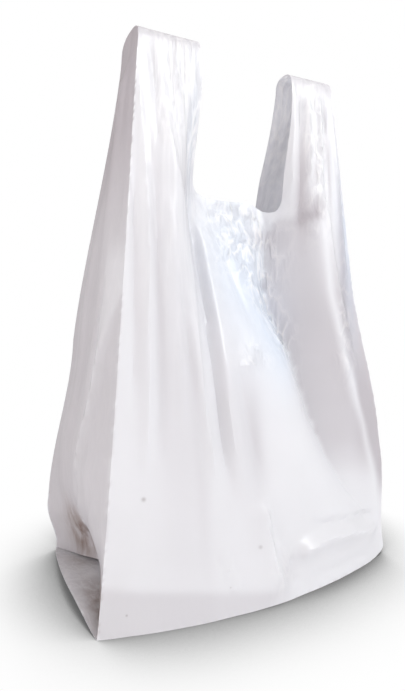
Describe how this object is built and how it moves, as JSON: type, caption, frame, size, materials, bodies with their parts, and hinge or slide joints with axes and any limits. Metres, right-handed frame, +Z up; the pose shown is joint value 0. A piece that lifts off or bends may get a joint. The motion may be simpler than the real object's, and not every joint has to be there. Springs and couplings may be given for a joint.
{
  "type": "plastic carrier bag",
  "caption": "White plastic vest carrier bag, opened out and standing on its folded base, with gusseted sides, a loop handle at each side and a notched mouth between them.",
  "frame": {"origin": "on the floor under the middle of the base, where the weld of the foot crosses the middle plane", "axes": "+Z up, +X to the right seen from the front, -Y towards the front panel, which is the one that faces the camera"},
  "size_m": [0.291, 0.1978, 0.4536],
  "materials": {
    "white_film": "thin white polythene film with a soft gloss"
  },
  "bodies": {
    "root": {"bag_film": "white_film"}
  },
  "joints": []
}
